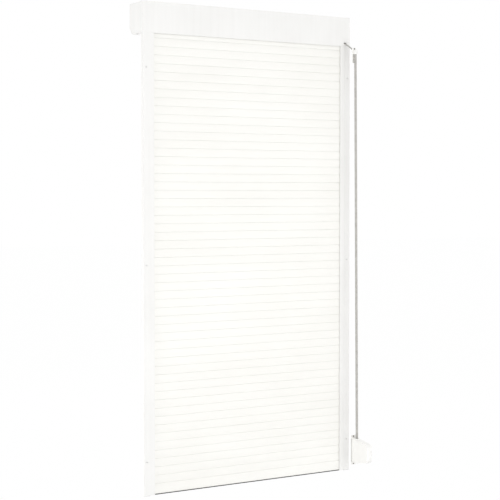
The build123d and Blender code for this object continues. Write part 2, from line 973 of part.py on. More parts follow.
def guide_hood():
    """A hood over the roller, open at the bottom where the strap leaves it."""
    half = guide_hood_width / 2
    wall = guide_hood_wall
    low = guide_roller_z - guide_hood_below
    high = guide_roller_z + guide_hood_above
    front = guide_face_y - guide_hood_depth
    hood = block(strap_x - half, strap_x + half, front, guide_face_y, low, high)
    hollow = block(
        strap_x - half + wall,
        strap_x + half - wall,
        front + wall,
        guide_face_y + overrun,
        low - overrun,
        high - wall,
    )
    room_edges = hood.edges().filter_by(Axis.X).group_by(Axis.Y)[0]
    hood = fillet(room_edges.sort_by(Axis.Z)[-1], guide_hood_corner)
    inner_edges = hollow.edges().filter_by(Axis.X).group_by(Axis.Y)[0]
    hollow = fillet(inner_edges.sort_by(Axis.Z)[-1], guide_hood_corner - wall)
    bore = rod_x(
        guide_pin_radius + fit_play,
        strap_x - half - overrun,
        strap_x + half + overrun,
        guide_roller_y,
        guide_roller_z,
    )
    return hood - hollow - bore


def guide_pin():
    half = guide_hood_width / 2
    return rod_x(guide_pin_radius, strap_x - half, strap_x + half, guide_roller_y, guide_roller_z)


def guide_roller():
    half = guide_roller_length / 2
    return ring_x(
        guide_roller_radius,
        guide_pin_radius + fit_play,
        strap_x - half,
        strap_x + half,
        guide_roller_y,
        guide_roller_z,
    )


def guide_pad():
    """A rounded buffer between the plate and the strap, under the hood."""
    middle = guide_roller_z - guide_pad_drop
    strap_back = -frame_gap - guide_strap_offset + strap_thickness / 2
    crown = strap_back + seat_play
    section = make_face(
        [
            ThreePointArc(
                (guide_face_y, middle - guide_pad_half_height),
                (crown, middle),
                (guide_face_y, middle + guide_pad_half_height),
            ),
            Line(
                (guide_face_y, middle + guide_pad_half_height),
                (guide_face_y, middle - guide_pad_half_height),
            ),
        ]
    )
    return along_x(section, strap_x - guide_pad_width / 2, strap_x + guide_pad_width / 2)


# Strap winder


def winder_outline(inset):
    """The case from the side, set in by a distance: tall at the strap, drawn in to a rounded front."""
    corners = [
        (winder_rear, winder_half_height),
        (winder_shoulder_offset, winder_half_height),
        (winder_depth, winder_front_half_height),
    ]
    upper = [(-frame_gap - out, winder_z + up) for out, up in corners]
    lower = [(-frame_gap - out, winder_z - up) for out, up in corners]
    outline = polygon(*upper, *reversed(lower))
    if inset:
        outline = offset(outline, -inset, kind=Kind.INTERSECTION)
    front = outline.vertices().group_by(Axis.X)[0]
    return fillet(front, winder_nose_radius - inset)


def winder_plan(inset):
    """The case from above, set in by a distance. Its rear corners just clear the wall plate as it swings."""
    half = winder_width / 2 - inset
    front = -frame_gap - winder_depth + inset
    rear = -frame_gap - winder_rear - inset
    plan = polygon(
        (strap_x - half, rear),
        (strap_x - half, front),
        (strap_x + half, front),
        (strap_x + half, rear),
    )
    plan = fillet(plan.vertices().group_by(Axis.Y)[0], winder_front_corner - inset)
    return fillet(plan.vertices().group_by(Axis.Y)[-1], winder_rear_corner - inset)


def winder_form(inset):
    """The case's outer form, or the same form set in by a distance all round."""
    half = winder_width / 2
    tall = along_z(winder_plan(inset), winder_z - winder_half_height - overrun, winder_top_z + overrun)
    return along_x(winder_outline(inset), strap_x - half - overrun, strap_x + half + overrun) & tall


def case_boss_places():
    """Two screw bosses behind the case's front and one under the swivel."""
    front_y = -frame_gap - winder_depth + front_boss_inset
    front_rise = winder_front_half_height - front_boss_drop
    rear_rise = winder_half_height - rear_boss_drop
    return (
        (front_y, winder_z + front_rise),
        (front_y, winder_z - front_rise),
        (-frame_gap - rear_boss_offset, winder_z - rear_rise),
    )


def brake_place():
    return -frame_gap - brake_offset, winder_top_z - brake_drop


def winder_case():
    """The whole case, before it is parted along its middle."""
    half = winder_width / 2
    inner = half - winder_wall
    inside = (strap_x - inner - overrun / 2, strap_x + inner + overrun / 2)
    case = winder_form(0) - winder_form(winder_wall)
    for y, z in case_boss_places():
        case = case + rod_x(case_boss_radius, *inside, y, z)
    boss_reach = inner - spool_half_width - spool_flange - play
    brake_y, brake_z = brake_place()
    brake_reach = inner - brake_width / 2 - play
    for side in (-1, 1):
        wall_x = strap_x + side * (inner + overrun / 2)
        spool_x = strap_x + side * (inner - boss_reach)
        case = case + rod_x(axle_boss_radius, *sorted((wall_x, spool_x)), spool_y, winder_z)
        brake_x = strap_x + side * (inner - brake_reach)
        case = case + rod_x(2 * brake_pin_radius, *sorted((wall_x, brake_x)), brake_y, brake_z)
    pivot_top = winder_top_z + arm_play + bracket_arm
    case = case + rod_z(upper_pivot_radius, winder_top_z - winder_wall, pivot_top, strap_x, winder_pivot_y)
    case = case - rod_z(
        upper_pivot_bore, winder_top_z - winder_wall - overrun, pivot_top + overrun, strap_x, winder_pivot_y
    )
    bottom = winder_z - winder_half_height
    pivot_low = bottom - arm_play - bracket_arm
    case = case + rod_z(lower_pivot_radius, pivot_low, bottom + winder_wall, strap_x, winder_pivot_y)
    bored = (strap_x - inner, strap_x + inner)
    case = case - rod_x(axle_radius + fit_play, *bored, spool_y, winder_z)
    case = case - rod_x(brake_pin_radius + fit_play, *bored, brake_y, brake_z)
    for y, z in case_boss_places():
        case = case - rod_x(case_screw_radius + fit_play, strap_x - inner, strap_x + half + overrun, y, z)
    return case


def winder_half(case, side):
    seam = winder_seam / 2
    far = winder_width
    ends = sorted((strap_x + side * seam, strap_x + side * far))
    room = -frame_gap - winder_depth - overrun
    low = winder_z - bracket_half_height
    high = winder_z + bracket_half_height
    return case & block(*ends, room, -frame_gap, low, high)


def winder_screws():
    """Screws from the right side, which draw the two case halves together."""
    half = winder_width / 2
    screws = []
    for y, z in case_boss_places():
        shank = rod_x(case_screw_radius, strap_x - half + winder_wall + play, strap_x + half, y, z)
        head = rod_x(case_screw_head_radius, strap_x + half, strap_x + half + case_screw_head, y, z)
        rim = head.edges().group_by(Axis.X)[-1]
        screws.append(shank + chamfer(rim, case_screw_head / 2))
    return screws


def winder_bracket():
    """A wall plate with an upper and a lower arm that the case swivels between."""
    half = winder_width / 2
    low = winder_z - bracket_half_height
    high = winder_z + bracket_half_height
    face = -frame_gap - bracket_plate
    plate = block(strap_x - half, strap_x + half, face, -frame_gap, low, high)
    plate = fillet(plate.edges().filter_by(Axis.Y), half / 4)
    for side in (-1, 1):
        z = winder_z + side * (winder_half_height + bracket_hole_reach)
        plate = plate - rod_y(bracket_hole_radius, face - overrun, -frame_gap + overrun, strap_x, z)
    arm = polygon(
        (strap_x - half, winder_pivot_y),
        (strap_x + half, winder_pivot_y),
        (strap_x + half, -frame_gap),
        (strap_x - half, -frame_gap),
    )
    arm = arm + Pos(strap_x, winder_pivot_y) * Circle(half)
    for side, pivot in ((-1, lower_pivot_radius), (1, upper_pivot_radius)):
        near = winder_z + side * (winder_half_height + arm_play)
        span = sorted((near, near + side * bracket_arm))
        hole = rod_z(pivot + fit_play, span[0] - overrun, span[1] + overrun, strap_x, winder_pivot_y)
        plate = plate + (along_z(arm, *span) - hole)
    return plate


def winder_spool():
    """A drum with two flanges, closed on the right by a web, turning on the axle."""
    low = strap_x - spool_half_width
    high = strap_x + spool_half_width
    spool = ring_x(spool_core_radius, spool_core_radius - spool_wall, low, high, spool_y, winder_z)
    for start in (low - spool_flange, high):
        inner = spool_core_radius - spool_wall
        flange = ring_x(spool_flange_radius, inner, start, start + spool_flange, spool_y, winder_z)
        spool = spool + flange
    web = rod_x(spool_core_radius, high - spool_wall + spool_flange, high + spool_flange, spool_y, winder_z)
    hub = rod_x(spool_hub_radius, low - spool_flange, high + spool_flange, spool_y, winder_z)
    ends = (low - spool_flange - overrun, high + spool_flange + overrun)
    bore = rod_x(axle_radius + fit_play, *ends, spool_y, winder_z)
    return spool + web + hub - bore


def winder_coil():
    low = strap_x - strap_width / 2
    core = spool_core_radius + fit_play
    return ring_x(winder_coil_radius, core, low, low + strap_width, spool_y, winder_z)


def winder_spring():
    """A flat spiral spring inside the drum, made of half turns that grow by half a pitch."""
    arcs = []
    for number in range(2 * spring_turns):
        sign = 1 if number % 2 == 0 else -1
        near = spring_inner_radius + number * spring_pitch / 2
        far = near + spring_pitch / 2
        middle = sign * (near - far) / 2
        radius = (near + far) / 2
        arcs.append(ThreePointArc((sign * near, 0), (middle, sign * radius), (-sign * far, 0)))
    band = trace(arcs, line_width=spring_thickness)
    low = strap_x - spool_half_width
    return along_x(Pos(spool_y, winder_z) * band, low, low + spring_width)


def winder_axle():
    inner = winder_width / 2 - winder_wall
    return rod_x(axle_radius, strap_x - inner, strap_x + inner, spool_y, winder_z)


def winder_brake():
    """A lever whose nose presses on the strap when the strap goes slack."""
    y, z = brake_place()
    nose = (y + brake_nose_reach, z + brake_nose_rise)
    arm = make_hull(
        (Pos(y, z) * Circle(brake_hub_radius)).edges() + (Pos(*nose) * Circle(brake_nose_radius)).edges()
    )
    half = brake_width / 2
    lever = along_x(arm, strap_x - half, strap_x + half)
    bored = (strap_x - half - overrun, strap_x + half + overrun)
    return lever - rod_x(brake_pin_radius + fit_play, *bored, y, z)


def brake_pin():
    y, z = brake_place()
    inner = winder_width / 2 - winder_wall
    return rod_x(brake_pin_radius, strap_x - inner, strap_x + inner, y, z)


def winder_strap_tail():
    """The strap inside the winder, from the swivel's bore down to the coil."""
    y_low = winder_pivot_y - strap_thickness / 2
    return block(
        strap_x - strap_width / 2,
        strap_x + strap_width / 2,
        y_low,
        y_low + strap_thickness,
        winder_z,
        strap_end_z - seat_play,
    )


def build():
    back, front, cover = box_panels()
    add_node("box_back_panel", back)
    add_node("box_front_panel", front)
    add_node("inspection_cover", cover)
    add_node("panel_screws", *box_screws("panel"))
    add_node("cover_screws", *box_screws("cover"))
    for name, side in sides():
        add_node(f"end_cap_{name}", end_cap(side))
        add_node(f"inlet_funnel_{name}", inlet_funnel(side))
        add_node(f"rail_{name}", rail(side))
        add_node(f"rail_seals_{name}", *rail_seals(side))
    add_node("rail_foot_plugs", *[foot_plug(side) for _, side in sides()])

    section = slat_section()
    for group in range(slat_group_count):
        add_node(f"slat_group_{group + 1:02d}", *slat_group(group, section))
    add_node("end_slat", end_slat())
    add_node("end_slat_seal", end_slat_seal())
    add_node("end_slat_stops", *end_slat_stops())
    add_node("stop_screws", *stop_screws())
    add_node("hanger_springs", *hanger_springs())

    add_node("shaft_tube", shaft_tube())
    add_node("idler_capsule", idler_capsule())
    add_node("idler_pin", shaft_pin(-1))
    add_node("strap_pulley", strap_pulley())
    add_node("pulley_pin", shaft_pin(1))
    add_node("pulley_strap_coil", pulley_strap_coil())
    add_node("bearing_outer_rings", *[bearing_outer_ring(side) for _, side in sides()])
    add_node("bearing_inner_rings", *[bearing_inner_ring(side) for _, side in sides()])
    add_node("bearing_balls", *[ball for _, side in sides() for ball in bearing_balls(side)])

    add_node("strap", strap())
    add_node("outlet_nozzle", outlet_nozzle())
    add_node("guide_plate", guide_plate())
    add_node("guide_hood", guide_hood())
    add_node("guide_pin", guide_pin())
    add_node("guide_roller", guide_roller())
    add_node("guide_pad", guide_pad())

    case = winder_case()
    add_node("winder_case_left", winder_half(case, -1))
    add_node("winder_case_right", winder_half(case, 1))
    add_node("winder_screws", *winder_screws())
    add_node("winder_bracket", winder_bracket())
    add_node("winder_spool", winder_spool())
    add_node("winder_coil", winder_coil())
    add_node("winder_spring", winder_spring())
    add_node("winder_axle", winder_axle())
    add_node("winder_brake", winder_brake())
    add_node("brake_pin", brake_pin())
    add_node("winder_strap_tail", winder_strap_tail())


build()
os.makedirs("parts", exist_ok=True)
for node_name, compound in nodes.items():
    export_step(compound, f"parts/{node_name}.step")
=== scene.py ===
import json
import math

import bmesh
import bpy
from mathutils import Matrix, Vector


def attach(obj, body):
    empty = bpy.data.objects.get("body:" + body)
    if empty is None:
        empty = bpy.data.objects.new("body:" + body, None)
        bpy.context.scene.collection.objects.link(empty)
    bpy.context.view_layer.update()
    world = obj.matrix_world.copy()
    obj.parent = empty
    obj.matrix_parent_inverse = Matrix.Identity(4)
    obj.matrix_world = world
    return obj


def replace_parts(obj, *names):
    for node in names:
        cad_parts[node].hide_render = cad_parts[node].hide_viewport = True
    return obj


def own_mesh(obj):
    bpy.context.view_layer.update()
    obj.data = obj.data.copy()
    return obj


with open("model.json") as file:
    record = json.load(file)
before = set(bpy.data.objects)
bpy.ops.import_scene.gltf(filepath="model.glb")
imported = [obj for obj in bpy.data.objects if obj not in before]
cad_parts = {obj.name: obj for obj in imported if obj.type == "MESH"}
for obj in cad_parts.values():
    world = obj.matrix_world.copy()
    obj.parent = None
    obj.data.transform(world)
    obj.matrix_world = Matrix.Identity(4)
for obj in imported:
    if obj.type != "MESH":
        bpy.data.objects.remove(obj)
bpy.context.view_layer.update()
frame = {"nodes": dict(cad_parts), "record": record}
nodes = frame["nodes"]

# Sizes in metres, as in the part's source

half_width = 0.545
box_bottom = 1.015
box_size = 0.137
box_screw_inset = 0.0045
panel_screw_head = 0.0016
curtain_y = 0.011
slat_pitch = 0.037
slat_thickness = 0.008
slat_gap = 0.0004
slat_count = 55
slats_per_group = 5
first_slat_z = -0.9654
half_curtain = 0.5085
stop_screw_x = 0.3485
stop_screw_y = 0.025
stop_screw_z = -0.989
hanger_start = 1.0742
hanger_over = 1.1042
hanger_end = 0.0765
hanger_spacing = 0.33
hanger_half_width = 0.01
hanger_thickness = 0.001
shaft_place = (0.0685, 1.0835)
pulley_wrap = 0.0383
roller_place = (-0.0802, 0.979)
roller_wrap = 0.0058
frame_face_y = -0.075
mount_plate = 0.003
strap_x = 0.517
strap_width = 0.014
strap_thickness = 0.0012
strap_outlet_rise = 0.014
strap_lay = 0.00126
strap_down_y = -0.106
winder_z = -0.902
winder_half_width = 0.0135
winder_screw_head = 0.0014
winder_screws = ((-0.201, -0.876), (-0.201, -0.928), (-0.11, -0.946))
spool_y = -0.15
guide_screw_z = 0.979
guide_screw_rises = (0.017, -0.045)
bracket_screw_rises = (0.0645, -0.0645)

# Settings of meshes and noise

sharp_angle = math.radians(35)
arc_steps = 4
crown_steps = 12
bend_steps = 12
turn_steps = 48
head_sides = 28
dome_steps = 6
ramp_low = 0.3
ramp_high = 0.7


# Materials


class Surface:
    """A Principled material whose colour, roughness and bump come from procedural textures."""

    def __init__(self, name, metallic=0.0, specular=0.5, coat=0.0, sheen=0.0):
        self.material = bpy.data.materials.new(name)
        self.material.use_nodes = True
        self.tree = self.material.node_tree
        self.shader = self.tree.nodes["Principled BSDF"]
        self.shader.inputs["Metallic"].default_value = metallic
        self.shader.inputs["Specular IOR Level"].default_value = specular
        self.shader.inputs["Coat Weight"].default_value = coat
        self.shader.inputs["Sheen Weight"].default_value = sheen
        self.place = self.tree.nodes.new("ShaderNodeTexCoord")
        self.normal = None

    def link(self, out, into):
        self.tree.links.new(out, into)

    def coordinates(self, stretch=(1, 1, 1)):
        mapping = self.tree.nodes.new("ShaderNodeMapping")
        mapping.inputs["Scale"].default_value = stretch
        self.link(self.place.outputs["Object"], mapping.inputs["Vector"])
        return mapping.outputs["Vector"]

    def noise(self, scale, detail=3.0, stretch=(1, 1, 1)):
        texture = self.tree.nodes.new("ShaderNodeTexNoise")
        texture.inputs["Scale"].default_value = scale
        texture.inputs["Detail"].default_value = detail
        self.link(self.coordinates(stretch), texture.inputs["Vector"])
        return texture.outputs["Fac"]

    def cells(self, scale):
        texture = self.tree.nodes.new("ShaderNodeTexVoronoi")
        texture.inputs["Scale"].default_value = scale
        self.link(self.coordinates(), texture.inputs["Vector"])
        channel = self.tree.nodes.new("ShaderNodeSeparateColor")
        self.link(texture.outputs["Color"], channel.inputs["Color"])
        return channel.outputs["Red"]

    def maths(self, operation, first, second=0):
        node = self.tree.nodes.new("ShaderNodeMath")
        node.operation = operation
        for socket, value in zip(node.inputs, (first, second)):
            if isinstance(value, (int, float)):
                socket.default_value = value
            else:
                self.link(value, socket)
        return node.outputs["Value"]

    def spread(self, value, low, high, at_low=ramp_low, at_high=ramp_high):
        """A value carried from one range to another."""
        node = self.tree.nodes.new("ShaderNodeMapRange")
        for socket, setting in zip(node.inputs[1:], (at_low, at_high, low, high)):
            socket.default_value = setting
        self.link(value, node.inputs["Value"])
        return node.outputs["Result"]

    def colour(self, value, dark, light):
        ramp = self.tree.nodes.new("ShaderNodeValToRGB")
        first, last = ramp.color_ramp.elements
        first.position = ramp_low
        last.position = ramp_high
        first.color = (*dark, 1)
        last.color = (*light, 1)
        self.link(value, ramp.inputs["Fac"])
        self.link(ramp.outputs["Color"], self.shader.inputs["Base Color"])

    def roughness(self, value, low, high):
        self.link(self.spread(value, low, high), self.shader.inputs["Roughness"])

    def bump(self, height, distance):
        node = self.tree.nodes.new("ShaderNodeBump")
        node.inputs["Distance"].default_value = distance
        node.inputs["Strength"].default_value = 1.0
        self.link(height, node.inputs["Height"])
        if self.normal:
            self.link(self.normal, node.inputs["Normal"])
        self.normal = node.outputs["Normal"]
        self.link(self.normal, self.shader.inputs["Normal"])


def powder_coat():
    """Satin white paint: a fine orange peel over slow, faint changes of tone."""
    paint = Surface("powder_coat_white", coat=0.05)
    slow = paint.noise(scale=3.5, detail=4.0)
    streaks = paint.noise(scale=45, detail=3.0, stretch=(1, 1, 0.06))
    tone = paint.maths("ADD", slow, paint.spread(streaks, low=-0.12, high=0.12))
    paint.colour(tone, dark=(0.845, 0.84, 0.823), light=(0.885, 0.881, 0.866))
    paint.roughness(paint.noise(scale=160, detail=4.0), low=0.36, high=0.48)
    paint.bump(paint.noise(scale=900, detail=2.0), distance=0.00003)
    return paint.material


def slat_plastic():
    """Warm white slats with faint drawing lines along their length."""
    plastic = Surface("slat_warm_white", specular=0.4)
    lines = plastic.noise(scale=1100, detail=2.0, stretch=(0.004, 0.25, 1))
    patches = plastic.noise(scale=5, detail=4.0, stretch=(0.4, 1, 1))
    tone = plastic.maths("ADD", patches, plastic.spread(lines, low=-0.1, high=0.1))
    plastic.colour(tone, dark=(0.893, 0.885, 0.849), light=(0.925, 0.919, 0.888))
    plastic.roughness(plastic.noise(scale=220, detail=4.0, stretch=(0.1, 1, 1)), low=0.42, high=0.56)
    plastic.bump(lines, distance=0.00002)
    plastic.bump(plastic.noise(scale=1500, detail=2.0), distance=0.00001)
    return plastic.material


def rubber(name, dark, light, roughness):
    """Matte rubber with fine pores and a little dust."""
    uneven = 0.08
    seal = Surface(name, specular=0.3)
    seal.colour(seal.noise(scale=90, detail=5.0), dark, light)
    seal.roughness(seal.noise(scale=400), low=roughness - uneven, high=roughness + uneven)
    seal.bump(seal.noise(scale=1400), distance=0.00006)
    return seal.material


def moulded(name, dark, light, roughness):
    """Moulded plastic with a spark-eroded grain."""
    uneven = 0.06
    plastic = Surface(name, specular=0.45)
    plastic.colour(plastic.noise(scale=14, detail=4.0), dark, light)
    plastic.roughness(plastic.noise(scale=260), low=roughness - uneven, high=roughness + uneven)
    plastic.bump(plastic.noise(scale=2200, detail=2.0), distance=0.00003)
    return plastic.material


def galvanised():
    """Zinc spangle: flat crystals, each a little lighter or rougher than the next."""
    zinc = Surface("galvanised_steel", metallic=1.0)
    crystals = zinc.cells(scale=140)
    tone = zinc.maths("ADD", crystals, zinc.spread(zinc.noise(scale=900), low=-0.1, high=0.1))
    zinc.colour(tone, dark=(0.47, 0.48, 0.5), light=(0.68, 0.69, 0.7))
    zinc.roughness(crystals, low=0.34, high=0.52)
    zinc.bump(zinc.noise(scale=1800), distance=0.00002)
    return zinc.material


def turned_steel(name, dark, light, roughness):
    """Turned steel with fine scratches and faint smudges: bright, or dark where its colour is painted shade.
    """
    uneven = 0.07
    steel = Surface(name, metallic=1.0)
    steel.colour(steel.noise(scale=120, detail=4.0), dark, light)
    smudges = steel.noise(scale=700, stretch=(0.1, 1, 1))
    steel.roughness(smudges, low=roughness - uneven, high=roughness + uneven)
    steel.bump(steel.noise(scale=2600, detail=2.0, stretch=(0.08, 1, 1)), distance=0.00001)
    return steel.material


def webbing():
    """Grey strap webbing: a herringbone weave; U runs across and V along, in metres."""
    rib_width = strap_width / 8
    pick_spacing = 0.0011
    warp_spacing = 0.00088
    cloth = Surface("strap_webbing", specular=0.2, sheen=0.25)
    parts = cloth.tree.nodes.new("ShaderNodeSeparateXYZ")
    cloth.link(cloth.place.outputs["UV"], parts.inputs["Vector"])
    across = parts.outputs["X"]
    along = parts.outputs["Y"]
    rib = cloth.maths("PINGPONG", across, rib_width)
    slanted = cloth.maths("ADD", along, rib)
    picks = cloth.maths("SINE", cloth.maths("MULTIPLY", slanted, 2 * math.pi / pick_spacing))
    warps = cloth.maths("SINE", cloth.maths("MULTIPLY", across, 2 * math.pi / warp_spacing))
    weave = cloth.maths("MULTIPLY", picks, warps)
    woven_tone = cloth.spread(weave, low=0.36, high=0.64, at_low=-1, at_high=1)
    patches = cloth.spread(cloth.noise(scale=70, detail=4.0), low=-0.12, high=0.12)
    tone = cloth.maths("ADD", woven_tone, patches)
    cloth.colour(tone, dark=(0.385, 0.373, 0.348), light=(0.555, 0.545, 0.518))
    cloth.roughness(cloth.noise(scale=600), low=0.72, high=0.9)
    cloth.bump(cloth.spread(weave, low=0, high=1, at_low=-1, at_high=1), distance=0.00012)
    return cloth.material


looks = {
    "white_paint": powder_coat(),
    "curtain_plastic": slat_plastic(),
    "black_rubber": rubber(
        "seal_rubber_black", dark=(0.016, 0.016, 0.017), light=(0.035, 0.034, 0.034), roughness=0.7
    ),
    "grey_rubber": rubber(
        "seal_rubber_grey", dark=(0.4, 0.375, 0.355), light=(0.5, 0.475, 0.455), roughness=0.68
    ),
    "white_plastic": moulded(
        "moulded_white", dark=(0.885, 0.88, 0.858), light=(0.92, 0.916, 0.896), roughness=0.42
    ),
    "grey_plastic": moulded("moulded_grey", dark=(0.43, 0.43, 0.43), light=(0.5, 0.5, 0.5), roughness=0.5),
    "galvanised_steel": galvanised(),
    "bright_steel": turned_steel(
        "bright_steel", dark=(0.62, 0.62, 0.63), light=(0.74, 0.74, 0.75), roughness=0.2
    ),
    "screw_steel": turned_steel(
        "zinc_plated_steel", dark=(0.6, 0.61, 0.62), light=(0.72, 0.73, 0.74), roughness=0.33
    ),
    "grey_strap": webbing(),
}
# Dark steel for the cross recesses: painted shade, the shade that falls inside the recesses.
recess_painted_shade = turned_steel("painted_shade_recess", dark=(0.12, 0.12, 0.12), light=(0.2, 0.2, 0.2), roughness=0.5)
# Dark steel for the mount screws' heads: painted shade of the shadowed screw holes they sit in.
screw_painted_shade = turned_steel("painted_shade_screw_head", dark=(0.2, 0.19, 0.17), light=(0.3, 0.29, 0.27), roughness=0.42)
pale_seal = rubber("seal_rubber_pale", dark=(0.78, 0.77, 0.745), light=(0.84, 0.83, 0.805), roughness=0.6)
pale_plug = moulded("moulded_pale_grey", dark=(0.7, 0.7, 0.69), light=(0.76, 0.76, 0.75), roughness=0.48)

for entry in frame["record"]["subparts"]:
    mesh = nodes[entry["node"]].data
    mesh.materials.clear()
    mesh.materials.append(looks[entry["material_slot"]])
    mesh.polygons.foreach_set("material_index", [0] * len(mesh.polygons))
for name in ("rail_seals_left", "rail_seals_right"):
    nodes[name].data.materials[0] = pale_seal
nodes["rail_foot_plugs"].data.materials[0] = pale_plug


# Pieces


def piece(name, bm, body, slot):
    """A mesh object that rides on a body, smooth but for its sharp edges."""
    bmesh.ops.recalc_face_normals(bm, faces=bm.faces)
    mesh = bpy.data.meshes.new(name)
    bm.to_mesh(mesh)
    bm.free()
    mesh.shade_smooth()
    mesh.set_sharp_from_angle(angle=sharp_angle)
    mesh.materials.append(looks[slot])
    made = bpy.data.objects.new(name, mesh)
    bpy.context.scene.collection.objects.link(made)
    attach(made, body)
    return made


def close_ring(bm, here, onward):
    """Faces between two rings of corners."""
    count = len(here)
    for side in range(count):
        other = (side + 1) % count
        bm.faces.new((here[side], here[other], onward[other], onward[side]))


def extrude_along_x(bm, section, low, high):
    """A closed bar with a section given as points in Y and Z."""
    first, last = [[bm.verts.new((x, y, z)) for y, z in section] for x in (low, high)]
    close_ring(bm, first, last)
    bm.faces.new(first)
    bm.faces.new(last)


def arc(centre, radius, start, end):
    """Points on an arc in Y and Z, between two angles in degrees."""
    turns = [math.radians(start + (end - start) * step / arc_steps) for step in range(arc_steps + 1)]
    return [(centre[0] + radius * math.cos(turn), centre[1] + radius * math.sin(turn)) for turn in turns]


def crown(start, middle, end):
    """Points on a flat curve through three places, without its two ends."""
    points = []
    for step in range(1, crown_steps):
        share = step / crown_steps
        chord = (start[0] * (1 - share) + end[0] * share, start[1] * (1 - share) + end[1] * share)
        rise = 4 * share * (1 - share) * (middle[0] - (start[0] + end[0]) / 2)
        points.append((chord[0] + rise, chord[1]))
    return points


def slat_outline():
    """A slat's section from its lower room edge, up the crowned room face and down the hollow street face."""
    top = slat_pitch - slat_gap
    half = slat_thickness / 2
    edge = 0.0006
    crown_rise = 0.0014
    room = -half + crown_rise
    tongue = 0.001
    neck = 0.0008
    head = 0.0016
    neck_top = top + 0.0026
    head_top = top + 0.0044
    pocket_play = 0.0003
    pocket_neck = neck + pocket_play
    pocket_head = head + pocket_play
    pocket_low = 0.0019
    pocket_top = 0.0043
    outline = arc((room + edge, edge), edge, 270, 180)
    outline += crown((room, edge), (-half, top / 2), (room, top - edge))
    outline += arc((room + edge, top - edge), edge, 180, 90)
    outline += [
        (tongue - neck, top),
        (tongue - neck, neck_top),
        (tongue - head, neck_top),
        (tongue - head, head_top),
        (tongue + head, head_top),
        (tongue + head, neck_top),
        (tongue + neck, neck_top),
        (tongue + neck, top),
    ]
    outline += arc((half - edge, top - edge), edge, 90, 0)
    outline += crown((half, top - edge), (half - crown_rise, top / 2), (half, edge))
    outline += arc((half - edge, edge), edge, 0, -90)
    outline += [
        (tongue + pocket_neck, 0),
        (tongue + pocket_neck, pocket_low),
        (tongue + pocket_head, pocket_low),
        (tongue + pocket_head, pocket_top),
        (tongue - pocket_head, pocket_top),
        (tongue - pocket_head, pocket_low),
        (tongue - pocket_neck, pocket_low),
        (tongue - pocket_neck, 0),
    ]
    return outline


def flatten_with_lift(made):
    """Gives a piece its own copy of its mesh."""
    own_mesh(made)


def add_slats():
    """The slats, a piece for each group, which ride on the curtain."""
    outline = slat_outline()
    for number in range(slat_count // slats_per_group):
        bm = bmesh.new()
        for slat in range(number * slats_per_group, (number + 1) * slats_per_group):
            low = first_slat_z + slat * slat_pitch
            section = [(curtain_y + y, low + z) for y, z in outline]
            extrude_along_x(bm, section, -half_curtain, half_curtain)
        name = f"slat_group_{number + 1:02d}"
        made = piece(f"{name}_look", bm, "curtain", "curtain_plastic")
        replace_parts(made, name)
        flatten_with_lift(made)


def strap_section(width, half):
    """A flat strap's section with rounded edges, as distances across and up."""
    shoulder = 0.6 * half
    tip = 0.15 * half
    upper = [(0, 0), (tip, shoulder), (shoulder, half)]
    upper += [(width - shoulder, half), (width - tip, shoulder), (width, 0)]
    return upper + [(across, -up) for across, up in upper[-2:0:-1]]


def ribbon(bm, path, x_low, x_high, thickness):
    """A flat strap along a path in Y and Z; U runs across and V along, in metres."""
    uv = bm.loops.layers.uv.verify()
    section = strap_section(x_high - x_low, thickness / 2)
    rows = []
    run = 0
    for index, (y, z) in enumerate(path):
        before = path[max(index - 1, 0)]
        after = path[min(index + 1, len(path) - 1)]
        run += math.dist(before, (y, z)) if index else 0
        size = math.dist(before, after)
        normal = (-(after[1] - before[1]) / size, (after[0] - before[0]) / size)
        row = []
        for across, up in section:
            row.append(bm.verts.new((x_low + across, y + normal[0] * up, z + normal[1] * up)))
        rows.append((row, run))
    count = len(section)
    for (here, start), (onward, end) in zip(rows, rows[1:]):
        for side in range(count):
            other = (side + 1) % count
            face = bm.faces.new((here[side], here[other], onward[other], onward[side]))
            across = (section[side][0], section[other][0])
            places = [(across[0], start), (across[1], start), (across[1], end), (across[0], end)]
            for loop, place in zip(face.loops, places):
                loop[uv].uv = place
    for row in (rows[0][0], rows[-1][0]):
        bm.faces.new(row)


def tangent_run(start, corner, end, radius, steps):
    """Points round a corner on an arc that touches both of its runs."""
    arriving = (Vector(corner) - Vector(start)).normalized()
    leaving = (Vector(end) - Vector(corner)).normalized()
    turn = arriving.angle_signed(leaving)
    back = radius * math.tan(abs(turn) / 2)
    side = 1 if arriving.cross(leaving) > 0 else -1
    centre = Vector(corner) - arriving * back + Vector((-arriving.y, arriving.x)) * radius * side
    spoke = Vector(corner) - arriving * back - centre
    points = []
    for step in range(steps + 1):
        angle = side * abs(turn) * step / steps
        y = centre.x + spoke.x * math.cos(angle) - spoke.y * math.sin(angle)
        z = centre.y + spoke.x * math.sin(angle) + spoke.y * math.cos(angle)
        points.append((y, z))
    return points


def spiral(centre, inner, outer, end_angle):
    """Points of a wound strap's middle line, from its inner end out to a given angle in degrees."""
    inner += strap_thickness / 2
    outer -= strap_thickness / 2
    turns = (outer - inner) / strap_lay
    steps = int(turns * turn_steps)
    points = []
    for step in range(steps + 1):
        left = turns * (1 - step / steps)
        angle = math.radians(end_angle) - 2 * math.pi * left
        radius = outer - strap_lay * left
        points.append((centre[0] + radius * math.cos(angle), centre[1] + radius * math.sin(angle)))
    return points


def touch(point, centre, radius, side):
    """The angle and length of the line from a point that just touches a circle on one side."""
    away = Vector(centre) - Vector(point)
    angle = math.atan2(away.y, away.x) - side * math.asin(radius / away.length)
    return angle, math.sqrt(away.length**2 - radius**2)


